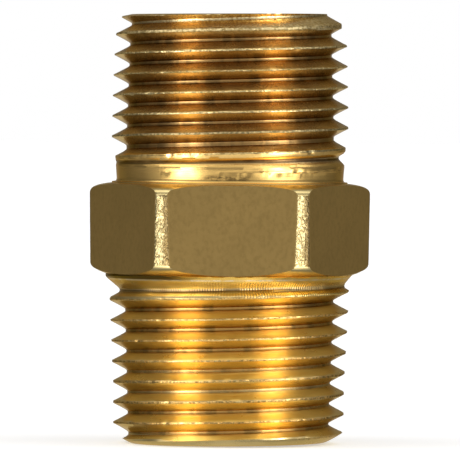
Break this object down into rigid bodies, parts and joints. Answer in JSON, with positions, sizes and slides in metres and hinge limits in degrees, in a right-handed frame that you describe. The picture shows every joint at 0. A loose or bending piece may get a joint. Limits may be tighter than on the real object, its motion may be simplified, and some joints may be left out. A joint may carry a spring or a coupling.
{
  "type": "hex nipple",
  "caption": "Brass hex nipple: short threaded pipe coupling with a tapered male pipe thread on each side of a turned hexagon and a straight flow bore.",
  "frame": {"origin": "centre of the piece, on the bore axis, halfway between the two end faces (inside the hexagon)", "axes": "+Z along the bore towards the end with the plain turned collar; +Y normal to one wrench flat; two of the hexagon's corners lie on the X axis"},
  "size_m": [0.025, 0.022, 0.038],
  "materials": {
    "brass": "machined and threaded free-cutting brass: satin drawn flats, bright turned corners and collar, cut threads"
  },
  "bodies": {
    "root": {"nipple_body": "brass"}
  },
  "joints": []
}
